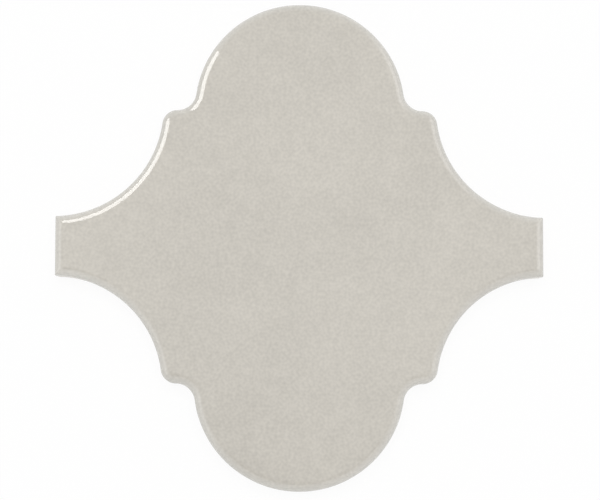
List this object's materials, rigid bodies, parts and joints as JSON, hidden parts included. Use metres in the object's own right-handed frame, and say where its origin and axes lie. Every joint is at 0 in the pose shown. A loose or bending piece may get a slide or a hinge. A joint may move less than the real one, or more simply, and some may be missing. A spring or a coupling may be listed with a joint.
{
  "type": "arabesque wall tile",
  "caption": "Glazed ceramic wall tile in an arabesque outline of round lobes, deep coves and flat-ended arms, which nests with its own kind around even grout joints",
  "frame": {"origin": "middle of the back plane, where the tile lies on its bed", "axes": "+Z out of the glazed face, +X along the right arm, +Y to the upper lobe"},
  "size_m": [0.12, 0.12, 0.009],
  "materials": {
    "glaze": "warm light grey glaze, glossy and level on the face and over the rounded edge; bare pale body on the lower sides and the back"
  },
  "bodies": {
    "root": {"arabesque_tile": "glaze"}
  },
  "joints": []
}
